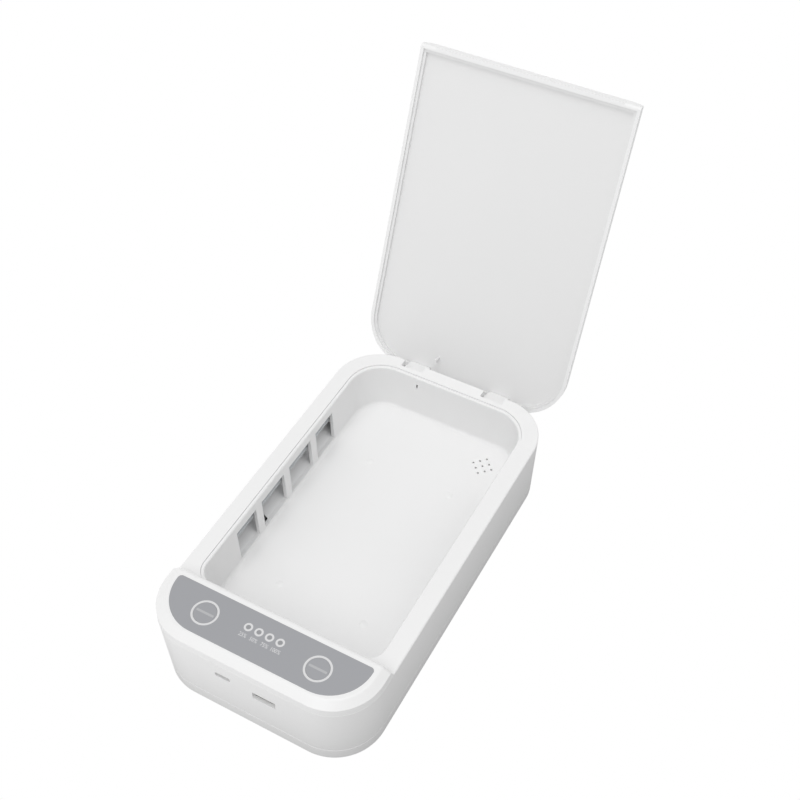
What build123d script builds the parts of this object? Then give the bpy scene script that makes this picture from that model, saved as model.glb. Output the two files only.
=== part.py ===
from build123d import *
import os
from math import atan2, cos, degrees, radians, sin, sqrt

# UV sanitizer box for phones: a moulded base with a phone tray, a control deck at the
# front and a lid hinged at the back.  Millimetres.  X to the right, Y to the back, Z up.
# The origin is the centre of the base on the surface that its rubber feet stand on.
# The lid is drawn closed and then swung open about its hinge, which is how it is stored.

# ---- Driving sizes: the base ------------------------------------------------------------
body_width = 120.0        # across the rim
body_length = 211.0       # along the rim
corner_radius = 26.0      # outer corners at the rim
side_draft = 1.6          # how far each side leans in from the rim to the table
end_draft = 0.4           # the same for the front and the back
rim_height = 43.1         # flat rim that the lid closes on
edge_rise = 4.3           # from the rim to the crisp edge that ends the upright side of deck and lid
edge_lean = 0.2           # how far that upright side leans in
crown_rise = 2.9          # from the crisp edge to the flat top of deck and lid
crown_run = 4.0           # width of the slope between the crisp edge and the flat top
crown_round = 2.0
wall = 2.0                # wall of the upper housing
roof = 2.0                # thickness of the rim plate and of the deck
rim_bevel = 0.5           # edge of the rim
seam_height = 9.0         # parting line between upper housing and bottom cover
seam_bevel = 0.35
fit_gap = 0.2             # clearance between moulded parts that drop into each other
tray_gap = 0.1            # the same round the tray, which fits its opening closely
touch_gap = 0.1           # clearance round small parts in their holes

# ---- Control deck -----------------------------------------------------------------------
deck_depth = 33.5         # from the front of the rim to the deck's back face
deck_round = 2.4          # back top edge of the deck
deck_step = 0.05          # fine ledge round the foot of the deck
deck_shoulder = 1.0       # the deck's inside starts to slope this far below its crisp edge
ramp_radius = 2.1         # hollow corner between the side rims and the deck
panel_margin_side = 6.5
panel_margin_front = 5.6
panel_margin_back = 4.1
panel_front_radius = 21.5
panel_back_radius = 2.0
panel_thickness = 0.5

button_inset = 22.8       # from the side of the panel to a button's centre
button_setback = 17.15    # from the front of the rim
button_radius = 5.6
button_flange = 1.1       # how far the cap's flange reaches past the cap
button_flange_height = 1.2
button_stem_radius = 1.6
button_travel = 0.5
ring_radius = 6.8         # outside of the light ring round each button
ring_gap = 0.1            # running clearance between cap and ring

indicator_count = 4
indicator_pitch = 5.77
indicator_setback = 20.35
indicator_ring_radius = 2.2
indicator_lens_radius = 1.2
pipe_depth = 4.0          # of the light pipe's comb, front to back
pipe_end = 1.0            # the comb reaches this far past its last lens

# ---- Phone cavity -----------------------------------------------------------------------
opening_margin = 8.5      # rim width at the sides
opening_front_gap = 1.0   # rim strip between the deck's back face and the opening
opening_back_margin = 7.7
opening_back_radius = 20.0
opening_front_radius = 10.0
tray_wall = 1.6
tray_lip_drop = 0.6       # the tray's edge lies this far below the rim
tray_lip_bevel = 0.5
tray_draft = 0.5
floor_height = 14.0       # top of the tray floor
tray_floor = 1.7
floor_round = 2.0
window_sill = 2.2         # lower edge of the windows above the tray floor
window_drop = 6.3         # upper edge of the windows below the rim
window_row_front = 34.8   # from the front of the opening to the row of windows
window_row_back = 41.4    # from the row of windows to the back of the opening
window_bar = 5.2          # between two windows
end_window_cut = 3.7      # how much shorter the first and the last window are
bump_radius = 2.1
bump_height = 0.35
bump_spacing = 49.2
bump_front = 31.7         # from the front of the opening to the front pair
bump_back = 45.6          # from the back of the opening to the back pair
scent_hole_radius = 0.65
scent_pitch = 3.85
scent_side = 20.1         # from the side of the opening to the middle of the nine holes
scent_back = 18.9         # from the back of the opening to the same
sensor_slot_x = -18.6
sensor_slot_drop = 7.0    # from the rim to the middle of the slot
sensor_slot_width = 1.0
sensor_slot_height = 3.0
sensor_depth = 1.2
sensor_size = (3.0, 4.4)
sensor_rail = 1.2         # rails on the tray that hold the sensor's board
sensor_board_size = 8.0
sensor_board_shift = 1.0  # the board's middle is this far beside the slot

# ---- Lid and hinge ----------------------------------------------------------------------
lid_gap = 0.4             # between lid and rim when closed
lid_front_gap = 0.4       # between lid and deck when closed
lid_side_inset = 0.2
lid_wall = 1.8
lid_lip_wall = 2.4        # wall at the free end
lid_roof = 2.0
open_angle = 112.7
hinge_inset = 2.2         # pin axis in front of the back of the rim
hinge_drop = 5.9          # pin axis below the rim
knuckle_spacing = 49.0    # between the centres of the two knuckles
knuckle_width = 11.7
knuckle_radius = 2.4
knuckle_end_gap = 0.65
knuckle_gap = 0.5         # between the knuckle and its notch
stop_gap = 0.15           # left between the open lid's arm and its stop
pin_radius = 1.0
pin_running_gap = 0.05
pin_end_room = 0.5        # the ears reach this far past the pins
ear_width = 4.0           # ears that hold the pin beside each notch
ear_drop = 2.0            # the ears reach this far below the knuckles
liner_drop = 2.3          # the lid's inner face lies this far inside its rim
liner_thickness = 1.4
liner_border = 1.5        # ledge round the liner, inside the lid's rim
liner_border_drop = 0.9   # the ledge lies this far inside the lid's rim
rib_x = -15.0             # rib that shades the sensor slot when the lid is shut
rib_width = 1.0
rib_reach = 8.7           # from the pin axis to the rib's back face
rib_length = 2.0
rib_drop = 2.0            # how far the rib hangs below the rim

# ---- Bottom -----------------------------------------------------------------------------
floor_plate = 2.0
foot_radius = 5.0
foot_thickness = 1.6
foot_standoff = 0.8       # how far the feet stand proud of the cover
foot_inset_side = 16.0    # from the side of the rim to the feet
foot_inset_end = 21.5     # from the ends of the rim to the feet
bottom_bevel = 1.0
lip_height = 1.6          # register lip inside the housing wall
lip_wall = 1.2

# ---- Ports ------------------------------------------------------------------------------
micro_x = -11.6
micro_width = 7.6
micro_height = 2.6
usb_x = 10.9
usb_drop = 12.1           # from the rim to the middle of the larger port
usb_width = 12.0
usb_height = 4.6
port_clearance = 0.25
port_round = 0.6
port_recess = 1.7         # from the front face to the sockets' mouths
usb_length = 14.0
micro_length = 5.6
shell_sheet = 0.4
usb_tab = 2.0             # width of the outlet's tabs, and how far they stay from its ends
usb_tongue_side = 1.2     # from the outlet's side to its tongue
usb_tongue_set = 0.8      # from the outlet's mouth to its tongue
usb_tongue_low = 0.2      # underside of the tongue above the outlet's middle
usb_tongue_high = 1.5     # top of the tongue above the outlet's middle
usb_root = 2.5            # length of the block that carries the tongue
micro_tongue_side = 1.4   # the same sizes for the inlet
micro_tongue_set = 0.6
micro_tongue_low = -0.1
micro_tongue_high = 0.5
micro_root = 1.6
board_above_usb = 0.5     # the board's middle lies above the larger socket's middle

# ---- Boards, lamps, fasteners -----------------------------------------------------------
board_thickness = 1.6
switch_size = 6.0
switch_height = 3.5
plunger_radius = 1.7
plunger_stand = 0.7       # the switch's plunger stands this far above its body
plunger_root = 0.8        # and reaches this far down into it
plunger_gap = 0.05        # running clearance round the plunger
control_board_reach = 15.3   # from a button's centre to the end of the control board
control_board_depth = 19.0
board_post_radius = 2.3
board_post_inset = 3.5    # from the end of a board to its posts
control_post_inset = 3.0  # from the front and back of the control board to its posts
main_post_inset = 4.0     # the same on the main board
main_board_width = 68.0
main_board_depth = 24.0
main_board_setback = 1.4  # from the inside of the front wall
board_cutout_gap = 0.5    # round the larger socket
transformer_x = -20.0
transformer_size = (12.0, 10.0, 5.5)
coil_size = (7.0, 13.0, 4.5)
chip_x = -2.0
chip_size = (6.0, 5.0, 1.5)
led_size = (2.0, 1.6, 1.2)
lamp_radius = 1.6
lamp_clearance = 0.6      # between a lamp and the tray's outer wall
lamp_rise = 3.0           # the lamp lies this far above the middle of the windows
lamp_overhang = 6.7       # how far a lamp reaches past the row of windows
lamp_pin_radius = 0.5
lamp_pin_length = 3.0
reflector_sheet = 0.4
reflector_flange = 2.0
reflector_joint = 1.1     # joint of the two lengths of reflector, behind the second window's front edge
reflector_joint_gap = 4.0
holder_length = 6.0
holder_height = 5.0
holder_wrap = 0.8         # how far a holder reaches past the lamp's axis
boss_radius = 2.6
post_extra = 0.6          # the cover's posts are this much larger in radius than the bosses
screw_radius = 1.1
screw_head_radius = 2.1
screw_head_height = 1.3
screw_bite = 5.0          # thread length inside a boss
board_screw_bite = 3.0    # the same in a board's post
screw_end_gap = 0.5       # left beyond the end of a tray screw
screw_seat = 1.0          # the case screws' heads bear this far above the cover's floor
case_boss_back = 26.0     # from the back of the opening to the rear bosses
case_boss_front = 5.0     # from the front of the opening to the front bosses
tray_lug_front = 16.0     # from the front of the opening to the tray's side lugs
tray_lug_spread = 9.0     # from the middle to each of the tray's rear lugs
tray_lug_drop = 7.0       # from the underside of the rim to the lugs
tray_lug_thickness = 2.0
scent_cup_size = 19.0
scent_cup_height = 6.0
scent_cup_wall = 1.2
scent_cup_round = 3.0
scent_pad_gap = 0.3

# ---- Places worked out from the sizes above ---------------------------------------------
edge_height = rim_height + edge_rise
top_height = edge_height + crown_rise
half_width = body_width / 2
front_y = -body_length / 2
back_y = body_length / 2
deck_back_y = front_y + deck_depth
hinge_y = back_y - hinge_inset
hinge_z = rim_height - hinge_drop
opening_half = half_width - opening_margin
opening_front_y = deck_back_y + opening_front_gap
opening_back_y = back_y - opening_back_margin
tray_half = opening_half - tray_gap
tray_back_y = opening_back_y - tray_gap
tray_top = rim_height - tray_lip_drop
tray_bottom = floor_height - tray_floor
button_x = half_width - panel_margin_side - button_inset
button_y = front_y + button_setback
indicator_y = front_y + indicator_setback
lid_front_y = deck_back_y + lid_front_gap
lid_bottom = rim_height + lid_gap
cover_bottom = foot_standoff
cover_floor = cover_bottom + floor_plate
deck_under = top_height - roof
flange_top = deck_under - touch_gap
flange_bottom = flange_top - button_flange_height
control_board_top = flange_bottom - button_travel - plunger_stand - switch_height
control_board_y = button_y
control_board_half = button_x + control_board_reach
usb_z = rim_height - usb_drop
main_board_z = usb_z + board_above_usb
micro_z = main_board_z + board_thickness / 2 + micro_height / 2
main_board_front = front_y + wall + main_board_setback
port_face_y = front_y + port_recess
window_bottom = floor_height + window_sill
window_top = rim_height - window_drop
lamp_z = (window_bottom + window_top) / 2 + lamp_rise
sensor_slot_z = rim_height - sensor_slot_drop
scent_x = opening_half - scent_side
scent_y = opening_back_y - scent_back
sides = (("left", -1), ("right", 1))


def block(x0, x1, y0, y1, z0, z1):
    """Box between two corners."""
    centre = Pos((x0 + x1) / 2, (y0 + y1) / 2, (z0 + z1) / 2)
    return centre * Box(abs(x1 - x0), abs(y1 - y0), abs(z1 - z0))


def rod_z(x, y, z0, z1, radius):
    """Upright cylinder."""
    return Pos(x, y, (z0 + z1) / 2) * Cylinder(radius, abs(z1 - z0))


def stud(x, y, z0, z1, radius):
    """Upright twelve-sided rod, the light form of bosses, posts, screws and small holes."""
    return extrude(Pos(x, y, min(z0, z1)) * RegularPolygon(radius, 12), abs(z1 - z0))


def rod_x(x0, x1, y, z, radius):
    """Cylinder along X."""
    return Pos((x0 + x1) / 2, y, z) * Rot(0, 90, 0) * Cylinder(radius, abs(x1 - x0))


def rod_y(x, y0, y1, z, radius):
    """Cylinder along Y."""
    return Pos(x, (y0 + y1) / 2, z) * Rot(90, 0, 0) * Cylinder(radius, abs(y1 - y0))


def lean_angle(run, rise):
    """Taper in degrees of a side that moves in by run over rise."""
    return degrees(atan2(run, rise))


def rim_face(z, inset=0.0):
    """Outline of the rim at a height, drawn in by an inset."""
    size = (body_width - 2 * inset, body_length - 2 * inset)
    return Pos(0, 0, z) * RectangleRounded(*size, corner_radius - inset)


def leaning_slab(plane, length, draft, z0, z1, inset):
    """Part of the base between two opposite leaning sides, endless the other way."""
    low = length / 2 - draft * (1 - z0 / rim_height) - inset
    high = length / 2 - draft * (1 - z1 / rim_height) - inset
    outline = Polyline((-low, z0), (low, z0), (high, z1), (-high, z1), close=True)
    return extrude(make_face(plane * outline), body_length, both=True)


def body_block(z0, z1, inset=0.0):
    """The base between two heights, drawn in by an inset, with its upright corners rounded."""
    solid = leaning_slab(Plane.XZ, body_width, side_draft, z0, z1, inset)
    solid &= leaning_slab(Plane.YZ, body_length, end_draft, z0, z1, inset)
    uprights = [edge for edge in solid.edges() if edge.bounding_box().size.Z > (z1 - z0) / 2]
    return fillet(uprights, corner_radius - inset)


def four_corner_face(half, y0, y1, front_radius, back_radius, z):
    """Rectangle with one radius at its front corners and another at its back ones."""
    face = Pos(0, (y0 + y1) / 2) * Rectangle(2 * half, y1 - y0)
    face = fillet(face.vertices().group_by(Axis.Y)[0], front_radius)
    face = fillet(face.vertices().group_by(Axis.Y)[-1], back_radius)
    return Pos(0, 0, z) * face


def opening_face(z, inset=0.0):
    """Outline of the opening in the rim, drawn in by an inset."""
    return four_corner_face(opening_half - inset, opening_front_y + inset, opening_back_y - inset,
                            opening_front_radius - inset, opening_back_radius - inset, z)


def panel_face(z, inset=0.0):
    """Outline of the grey control panel, drawn in by an inset."""
    half = half_width - panel_margin_side - inset
    y0 = front_y + panel_margin_front + inset
    y1 = deck_back_y - panel_margin_back - inset
    return four_corner_face(half, y0, y1, panel_front_radius - inset, panel_back_radius - inset, z)


def cap_block(inset=0.0):
    """The raised shape that deck and lid share: upright edge, sloping crown, flat top."""
    edge = extrude(rim_face(rim_height, inset), edge_rise, taper=lean_angle(edge_lean, edge_rise))
    foot = rim_face(edge_height, inset + edge_lean)
    crown = extrude(foot, crown_rise, taper=lean_angle(crown_run, crown_rise))
    cap = edge + crown
    return fillet(cap.faces().sort_by(Axis.Z)[-1].edges(), crown_round)


def deck_block():
    """Solid form of the control deck, rounded along the top of its back face."""
    keep = block(-body_width, body_width, front_y - 1, deck_back_y, rim_height, top_height + 1)
    deck = cap_block(deck_step) & keep
    back = deck.faces().sort_by(Axis.Y)[-1]
    top_edges = [edge for edge in back.edges() if edge.center().Z > edge_height - edge_rise / 4]
    top_edges = [edge for edge in top_edges if edge.bounding_box().size.X > 2 * edge_lean]
    return fillet(top_edges, deck_round)


def side_ramps():
    """Hollow quarter rounds that lead from the side rims up to the deck."""
    corner = block(-half_width, half_width, deck_back_y - 1, deck_back_y + ramp_radius,
                   rim_height - 1, rim_height + ramp_radius)
    hollow = rod_x(-body_width, body_width, deck_back_y + ramp_radius, rim_height + ramp_radius, ramp_radius)
    middle = block(-opening_half, opening_half, front_y, back_y, 0, top_height)
    foot = extrude(rim_face(rim_height - 1, deck_step), 1)
    upright = extrude(rim_face(rim_height, deck_step), edge_rise, taper=lean_angle(edge_lean, edge_rise))
    return (corner - hollow - middle) & (foot + upright)


def deck_hollow():
    """Inside of the deck, open towards the housing below it."""
    low_z = rim_height - roof
    shoulder_z = edge_height - deck_shoulder
    low = extrude(rim_face(low_z, wall), shoulder_z - low_z,
                  taper=lean_angle(edge_lean, shoulder_z - low_z))
    high = extrude(rim_face(shoulder_z, wall + edge_lean), deck_under - shoulder_z,
                   taper=lean_angle(crown_run, deck_under - shoulder_z))
    keep = block(-body_width, body_width, front_y, deck_back_y - wall, 0, top_height)
    return (low + high) & keep


def port_cut(x, z, width, height):
    """Rounded slot through the front wall."""
    size = (width + 2 * port_clearance, height + 2 * port_clearance)
    slot = extrude(RectangleRounded(*size, port_round), 3 * wall)
    return Pos(x, front_y + 2 * wall, z) * Rot(90, 0, 0) * slot


def arm_span(side):
    """Lowest and highest X of one knuckle."""
    centre = side * knuckle_spacing / 2
    return centre - knuckle_width / 2, centre + knuckle_width / 2


def open_point(u, n):
    """Y and Z, with the lid open, of a point u in front of and n below the pin."""
    swing = radians(open_angle)
    y = hinge_y - u * cos(swing) - n * sin(swing)
    z = hinge_z + u * sin(swing) - n * cos(swing)
    return y, z


def stop_height():
    """Height at the back face where the open arm would touch the notch."""
    swing = radians(open_angle)
    slope = -cos(swing) / sin(swing)
    start_y, start_z = open_point(-hinge_inset + lid_side_inset, 0)
    return min(start_z - (back_y - start_y) * slope, hinge_z - knuckle_radius)


def notch_cuts():
    """Notches in the back of the housing that the knuckles swing in."""
    cuts = None
    for name, side in sides:
        x0, x1 = arm_span(side)
        y0 = hinge_y - knuckle_radius - knuckle_gap
        cut = block(x0 - knuckle_end_gap, x1 + knuckle_end_gap, y0, back_y + 1,
                    stop_height() - stop_gap, rim_height + 1)
        cuts = cut if cuts is None else cuts + cut
    return cuts


def pin_ears():
    """Ears inside the back wall that hold the hinge pins."""
    ears = None
    for name, side in sides:
        x0, x1 = arm_span(side)
        y0 = hinge_y - knuckle_radius - knuckle_gap
        ear = block(x0 - knuckle_end_gap - ear_width, x1 + knuckle_end_gap + ear_width, y0,
                    back_y - wall / 2 - end_draft, hinge_z - knuckle_radius - ear_drop, rim_height - roof / 2)
        ears = ear if ears is None else ears + ear
    return ears


def pin_span(side):
    """Both ends of one hinge pin."""
    x0, x1 = arm_span(side)
    reach = knuckle_end_gap + ear_width - pin_end_room
    return x0 - reach, x1 + reach


case_boss_x = tray_half + boss_radius + touch_gap
case_boss_places = [(side * case_boss_x, opening_back_y - case_boss_back) for name, side in sides]
case_boss_places += [(side * case_boss_x, opening_front_y + case_boss_front) for name, side in sides]
tray_lug_x = tray_half + boss_radius
tray_lug_places = [(side * tray_lug_x, opening_front_y + tray_lug_front) for name, side in sides]
tray_lug_places += [(side * tray_lug_spread, tray_back_y + boss_radius) for name, side in sides]
control_post_x = control_board_half - board_post_inset
control_post_y = control_board_depth / 2 - control_post_inset
board_post_places = [(side * control_post_x, control_board_y + way * control_post_y)
                     for name, side in sides for way in (-1, 1)]
main_post_x = main_board_width / 2 - board_post_inset
main_post_places = [(side * main_post_x, main_board_front + y)
                    for name, side in sides for y in (main_post_inset, main_board_depth - main_post_inset)]
tray_lug_top = rim_height - roof - tray_lug_drop
tray_lug_bottom = tray_lug_top - tray_lug_thickness


def outer_form():
    """Outside of the upper housing: bevelled at the parting line and along the rim behind the deck."""
    plain = body_block(seam_height, rim_height)
    plain = chamfer(plain.faces().sort_by(Axis.Z)[0].edges(), seam_bevel)
    bevelled = chamfer(plain.faces().sort_by(Axis.Z)[-1].edges(), rim_bevel)
    front = block(-body_width, body_width, front_y - 1, deck_back_y + ramp_radius, 0, rim_height)
    return bevelled + (plain & front) + deck_block() + side_ramps()


def upper_housing():
    """Outer shell with the rim, the control deck and the screw bosses."""
    shell = outer_form()
    shell -= body_block(seam_height - 1, rim_height - roof, wall)
    shell -= deck_hollow()
    shell -= extrude(opening_face(rim_height - roof - 1), roof + 2)
    inside = body_block(seam_height, rim_height, wall / 2)
    for x, y in case_boss_places:
        shell += stud(x, y, seam_height, rim_height - roof / 2, boss_radius) & inside
    for x, y in tray_lug_places:
        shell += stud(x, y, tray_lug_top, rim_height - roof / 2, boss_radius)
    for x, y in board_post_places:
        shell += stud(x, y, control_board_top, top_height - roof / 2, board_post_radius)
    shell += pin_ears()
    shell -= notch_cuts()
    shell -= extrude(panel_face(top_height - panel_thickness), panel_thickness + 1)
    for name, side in sides:
        x = side * button_x
        shell -= rod_z(x, button_y, deck_under - 1, top_height, button_radius + 2 * ring_gap)
        shell -= rod_x(*pin_span(side), hinge_y, hinge_z, pin_radius)
    for i in range(indicator_count):
        shell -= rod_z(indicator_place(i), indicator_y, deck_under - 1, top_height,
                       indicator_lens_radius)
    for x, y in case_boss_places:
        shell -= stud(x, y, seam_height - 1, seam_height + screw_bite + 1, screw_radius)
    for x, y in tray_lug_places:
        shell -= stud(x, y, tray_lug_top - 1, tray_lug_top + screw_bite, screw_radius)
    for x, y in board_post_places:
        shell -= stud(x, y, control_board_top - 1, control_board_top + board_screw_bite + 1, screw_radius)
    shell -= port_cut(micro_x, micro_z, micro_width, micro_height)
    shell -= port_cut(usb_x, usb_z, usb_width, usb_height)
    return shell


def indicator_place(i):
    """X of one indicator."""
    return (i - (indicator_count - 1) / 2) * indicator_pitch


def window_spans():
    """Front and back Y of the four windows in a side wall of the tray."""
    start = opening_front_y + window_row_front
    row = opening_back_y - window_row_back - start
    middle_length = (row - 3 * window_bar + 2 * end_window_cut) / 4
    end_length = middle_length - end_window_cut
    spans = []
    for length in (end_length, middle_length, middle_length, end_length):
        spans.append((start, start + length))
        start += length + window_bar
    return spans


def scent_places():
    """Nine holes on a square grid that is turned by 45 degrees."""
    step = scent_pitch / sqrt(2)
    return [(scent_x + (i - j) * step, scent_y + (i + j) * step) for i in (-1, 0, 1) for j in (-1, 0, 1)]


def tray_space():
    """Room for the phone: it widens a little from the floor to the rim."""
    height = tray_top - floor_height
    low = opening_face(floor_height, tray_gap + tray_wall + tray_draft)
    space = extrude(low, height + 1, taper=-lean_angle(tray_draft, height))
    return fillet(space.faces().sort_by(Axis.Z)[0].edges(), floor_round)


def floor_bumps():
    """Four low domes that the phone lies on."""
    ball = (bump_radius ** 2 + bump_height ** 2) / (2 * bump_height)
    bumps = []
    for x in (-bump_spacing / 2, bump_spacing / 2):
        for y in (opening_front_y + bump_front, opening_back_y - bump_back):
            dome = Pos(x, y, floor_height + bump_height - ball) * Sphere(ball)
            bumps.append(dome & rod_z(x, y, floor_height - tray_floor / 2, floor_height + 1, bump_radius))
    return bumps


def tray_lug(x, y):
    """Screw lug on the tray's outer wall, joined to it by a flat web."""
    lug = stud(x, y, tray_lug_bottom, tray_lug_top, boss_radius)
    if abs(x) > opening_half:
        wall_x = (tray_half - tray_wall / 2) * x / abs(x)
        return lug + block(x, wall_x, y - boss_radius, y + boss_radius, tray_lug_bottom, tray_lug_top)
    wall_y = tray_back_y - tray_wall / 2
    return lug + block(x - boss_radius, x + boss_radius, wall_y, y, tray_lug_bottom, tray_lug_top)


def inner_tray():
    """Phone tray: deep tub with four lamp windows in each side wall."""
    tub = extrude(opening_face(tray_bottom, tray_gap), tray_top - tray_bottom)
    tub -= tray_space()
    inner_edge = tub.faces().sort_by(Axis.Z)[-1].inner_wires()[0].edges()
    tub = chamfer(inner_edge, tray_lip_bevel)
    for y0, y1 in window_spans():
        tub -= block(-half_width, half_width, y0, y1, window_bottom, window_top)
    for x, y in scent_places():
        tub -= stud(x, y, tray_bottom - 1, floor_height + 1, scent_hole_radius)
    tub -= block(sensor_slot_x - sensor_slot_width / 2, sensor_slot_x + sensor_slot_width / 2,
                 tray_back_y - tray_wall - tray_draft - 1, tray_back_y + 1,
                 sensor_slot_z - sensor_slot_height / 2, sensor_slot_z + sensor_slot_height / 2)
    half_board = sensor_board_size / 2
    for way in (-1, 1):
        x = sensor_slot_x + sensor_board_shift + way * half_board
        tub += block(x - sensor_rail / 2, x + sensor_rail / 2, tray_back_y - tray_wall / 2,
                     tray_back_y + sensor_depth, sensor_slot_z - half_board, sensor_slot_z + half_board)
    for bump in floor_bumps():
        tub += bump
    for x, y in tray_lug_places:
        tub += tray_lug(x, y)
        tub -= stud(x, y, tray_lug_bottom - 1, tray_lug_top + 1, screw_radius + touch_gap)
    return tub


def bottom_cover():
    """Shallow cover that closes the base from below."""
    pan = body_block(cover_bottom, seam_height)
    pan = chamfer(pan.faces().sort_by(Axis.Z)[0].edges(), bottom_bevel)
    pan = chamfer(pan.faces().sort_by(Axis.Z)[-1].edges(), seam_bevel)
    pan += body_block(cover_floor, seam_height + lip_height, wall + touch_gap)
    pan -= body_block(cover_floor, seam_height + lip_height + 1, wall + touch_gap + lip_wall)
    inside = body_block(cover_bottom, seam_height, wall)
    for x, y in case_boss_places:
        pan += stud(x, y, cover_bottom, seam_height, boss_radius + post_extra) & inside
        pan -= stud(x, y, seam_height, seam_height + lip_height + 1, boss_radius + fit_gap)
        pan -= stud(x, y, cover_bottom - 1, seam_height + 1, screw_radius + touch_gap)
        pan -= stud(x, y, cover_bottom - 1, cover_floor + screw_seat, screw_head_radius + touch_gap)
    for x, y in main_post_places:
        post_top = main_board_z - board_thickness / 2
        pan += stud(x, y, cover_floor - floor_plate / 2, post_top, board_post_radius)
        pan -= stud(x, y, post_top - board_screw_bite - 1, post_top + 1, screw_radius)
    for x, y in foot_places():
        pan -= rod_z(x, y, cover_bottom - 1, foot_thickness, foot_radius + touch_gap)
    return pan


def foot_places():
    """Centres of the four feet."""
    foot_x = half_width - foot_inset_side
    foot_y = back_y - foot_inset_end
    return [(x, y) for x in (-foot_x, foot_x) for y in (-foot_y, foot_y)]


def rubber_feet():
    """Four round feet that sit in pockets of the bottom cover."""
    feet = []
    for x, y in foot_places():
        feet.append(rod_z(x, y, 0, foot_thickness, foot_radius))
    return Compound(children=feet)


def swing_open(shape):
    """Turn a piece of the closed lid to where the open lid has it."""
    return shape.rotate(Axis((0, hinge_y, hinge_z), (1, 0, 0)), -open_angle)


def closed_lid():
    """Lid as it lies when shut, with its two knuckles."""
    keep = block(-body_width, body_width, lid_front_y, back_y + 1, lid_bottom, top_height + 1)
    solid = cap_block(lid_side_inset) & keep
    inset = lid_side_inset + lid_wall
    tool = extrude(rim_face(rim_height, inset), top_height - lid_roof - rim_height)
    tool &= block(-body_width, body_width, lid_front_y + lid_lip_wall, back_y, 0, top_height)
    lid = solid - tool
    round_radius = ramp_radius - (lid_gap + lid_front_gap) / 2
    for name, side in sides:
        x0 = side * (opening_half - lid_front_gap)
        x1 = side * (half_width + 1)
        corner = block(x0, x1, lid_front_y - 1, lid_front_y + round_radius,
                       lid_bottom - 1, lid_bottom + round_radius)
        keep_round = rod_x(x0, x1, lid_front_y + round_radius, lid_bottom + round_radius, round_radius)
        lid -= corner - keep_round
        x0, x1 = arm_span(side)
        arm = block(x0, x1, hinge_y - knuckle_radius, back_y - lid_side_inset, hinge_z, lid_bottom)
        root = block(x0, x1, hinge_y - knuckle_radius, back_y, lid_bottom, top_height) & solid
        barrel = rod_x(x0, x1, hinge_y, hinge_z, knuckle_radius)
        lid += arm + root + barrel
    for name, side in sides:
        lid -= rod_x(*pin_span(side), hinge_y, hinge_z, pin_radius + pin_running_gap)
    return lid


def lid_liner():
    """Inner face of the closed lid, with a ledge round it and the rib that shades the lid sensor."""
    inset = lid_side_inset + lid_wall + touch_gap / 2
    start_y = lid_front_y + lid_lip_wall + touch_gap / 2
    plate_z = lid_bottom + liner_drop
    ledge_z = lid_bottom + liner_border_drop
    keep = block(-body_width, body_width, start_y, back_y, 0, top_height)
    liner = extrude(rim_face(ledge_z, inset), plate_z + liner_thickness - ledge_z) & keep
    well = extrude(rim_face(ledge_z - 1, inset + liner_border), plate_z - ledge_z + 1)
    liner -= well & block(-body_width, body_width, start_y + liner_border, back_y, 0, top_height)
    for name, side in sides:
        x0, x1 = arm_span(side)
        liner -= block(x0 - touch_gap, x1 + touch_gap, hinge_y - knuckle_radius - touch_gap, back_y,
                       0, top_height)
    y1 = hinge_y - rib_reach
    liner += block(rib_x - rib_width / 2, rib_x + rib_width / 2, y1 - rib_length, y1,
                   rim_height - rib_drop, plate_z + liner_thickness / 2)
    return liner


def hinge_pin(side):
    """Steel pin that is pressed into the housing's ears."""
    return rod_x(*pin_span(side), hinge_y, hinge_z, pin_radius)


def control_panel():
    """Grey overlay set into the deck."""
    panel = extrude(panel_face(top_height - panel_thickness, touch_gap / 2), panel_thickness)
    for name, side in sides:
        panel -= rod_z(side * button_x, button_y, rim_height, top_height + 1, ring_radius)
    for i in range(indicator_count):
        panel -= rod_z(indicator_place(i), indicator_y, rim_height, top_height + 1, indicator_ring_radius)
    return panel


def button_ring(side):
    """White ring round one button."""
    x = side * button_x
    ring = rod_z(x, button_y, top_height - panel_thickness, top_height, ring_radius)
    return ring - rod_z(x, button_y, rim_height, top_height + 1, button_radius + ring_gap)


def button(side):
    """Push button: cap, flange that keeps it in the deck, and stem."""
    x = side * button_x
    cap = rod_z(x, button_y, flange_top, top_height, button_radius)
    flange = rod_z(x, button_y, flange_bottom, flange_top, button_radius + button_flange)
    stem_bottom = control_board_top + switch_height + plunger_stand
    stem = rod_z(x, button_y, stem_bottom, flange_bottom, button_stem_radius)
    return cap + flange + stem


def switch_body(side):
    """Tactile switch on the control board, with a well for its plunger."""
    x = side * button_x
    top = control_board_top + switch_height
    half = switch_size / 2
    body = block(x - half, x + half, button_y - half, button_y + half, control_board_top, top)
    well_bottom = top - plunger_root - button_travel - fit_gap
    well = rod_z(x, button_y, well_bottom, top + 1, plunger_radius + plunger_gap)
    return body - well


def switch_plunger(side):
    """Plunger of the tactile switch, pushed by the button's stem."""
    x = side * button_x
    top = control_board_top + switch_height + plunger_stand
    return rod_z(x, button_y, top - plunger_stand - plunger_root, top, plunger_radius)


def indicator_rings():
    """White rings round the four indicators."""
    rings = []
    for i in range(indicator_count):
        x = indicator_place(i)
        ring = rod_z(x, indicator_y, top_height - panel_thickness, top_height, indicator_ring_radius)
        rings.append(ring - rod_z(x, indicator_y, rim_height, top_height + 1, indicator_lens_radius))
    return Compound(children=rings)


def indicator_light_pipe():
    """Clear comb that carries the indicators' light from the board to the panel."""
    half = indicator_place(indicator_count - 1) + indicator_lens_radius + pipe_end
    comb = block(-half, half, indicator_y - pipe_depth / 2, indicator_y + pipe_depth / 2,
                 control_board_top + led_size[2], deck_under)
    for i in range(indicator_count):
        comb += rod_z(indicator_place(i), indicator_y, deck_under - 1, top_height, indicator_lens_radius)
    return comb


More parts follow.
